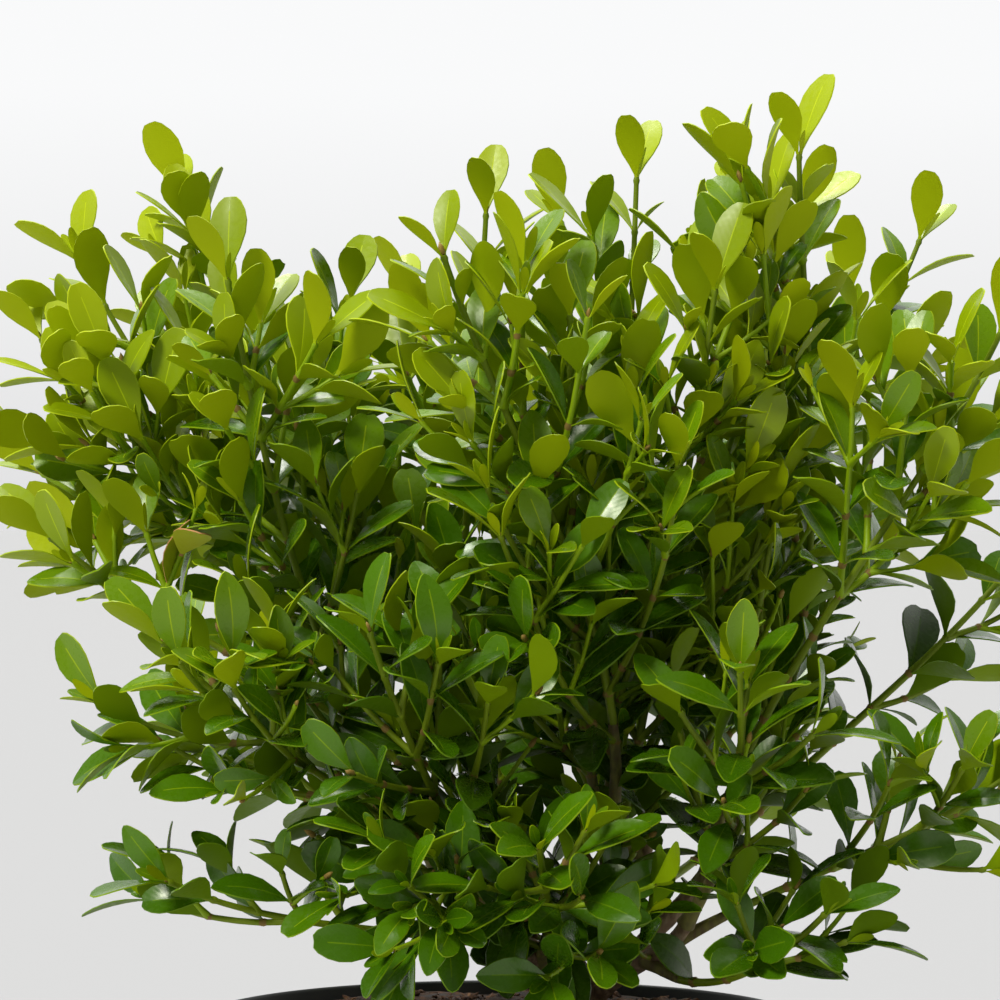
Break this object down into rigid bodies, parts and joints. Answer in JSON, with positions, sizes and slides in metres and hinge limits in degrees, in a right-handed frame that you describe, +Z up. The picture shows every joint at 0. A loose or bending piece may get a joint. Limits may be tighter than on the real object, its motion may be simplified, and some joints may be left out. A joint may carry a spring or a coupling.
{
  "type": "potted boxwood shrub",
  "caption": "Young unclipped boxwood shrub, its stems, boughs and leafy shoots rising from a round black nursery pot filled with potting mix.",
  "frame": {"origin": "centre of the flat underside of the pot, on the surface that the plant stands on", "axes": "+Z up along the pot's axis; -Y is the front, the side that is seen; +X is to the right of it"},
  "size_m": [0.3624, 0.2916, 0.4382],
  "materials": {
    "black_plastic": "moulded black plastic with a soft sheen",
    "potting_mix": "moist reddish-brown bark and peat mix",
    "bark": "fine, pale brown, lengthwise cracked bark",
    "young_bark": "smooth olive-green young bark, browner at the forks",
    "foliage": "glossy green leaves, paler below, yellow-green on the young tips"
  },
  "bodies": {
    "root": {"pot": "black_plastic", "soil": "potting_mix", "trunk": "bark", "stem_back_left": "bark", "stem_back_right": "bark", "stem_front_left": "bark", "stem_front_right": "bark", "stem_left": "bark", "stem_middle": "bark", "stem_right": "bark", "bough_back_left_low": "young_bark", "bough_back_left_top": "young_bark", "bough_back_middle": "young_bark", "bough_back_right_low": "young_bark", "bough_back_right_top": "young_bark", "bough_back_top": "young_bark", "bough_centre_front": "young_bark", "bough_centre_top": "young_bark", "bough_centre_up": "young_bark", "bough_front_bottom": "young_bark", "bough_front_low": "young_bark", "bough_left_bend": "young_bark", "bough_left_far": "young_bark", "bough_left_front": "young_bark", "bough_left_low": "young_bark", "bough_left_mid": "young_bark", "bough_left_side": "young_bark", "bough_left_top": "young_bark", "bough_right_bottom": "young_bark", "bough_right_far": "young_bark", "bough_right_front": "young_bark", "bough_right_inner": "young_bark", "bough_right_low": "young_bark", "bough_right_mid": "young_bark", "bough_right_top": "young_bark", "foliage_back_left_low": "foliage", "foliage_back_left_top": "foliage", "foliage_back_middle": "foliage", "foliage_back_right_low": "foliage", "foliage_back_right_top": "foliage", "foliage_back_top": "foliage", "foliage_centre_front": "foliage", "foliage_centre_top": "foliage", "foliage_centre_up": "foliage", "foliage_front_bottom": "foliage", "foliage_front_low": "foliage", "foliage_left_bend": "foliage", "foliage_left_far": "foliage", "foliage_left_front": "foliage", "foliage_left_low": "foliage", "foliage_left_mid": "foliage", "foliage_left_side": "foliage", "foliage_left_top": "foliage", "foliage_right_bottom": "foliage", "foliage_right_far": "foliage", "foliage_right_front": "foliage", "foliage_right_inner": "foliage", "foliage_right_low": "foliage", "foliage_right_mid": "foliage", "foliage_right_top": "foliage"}
  },
  "joints": []
}
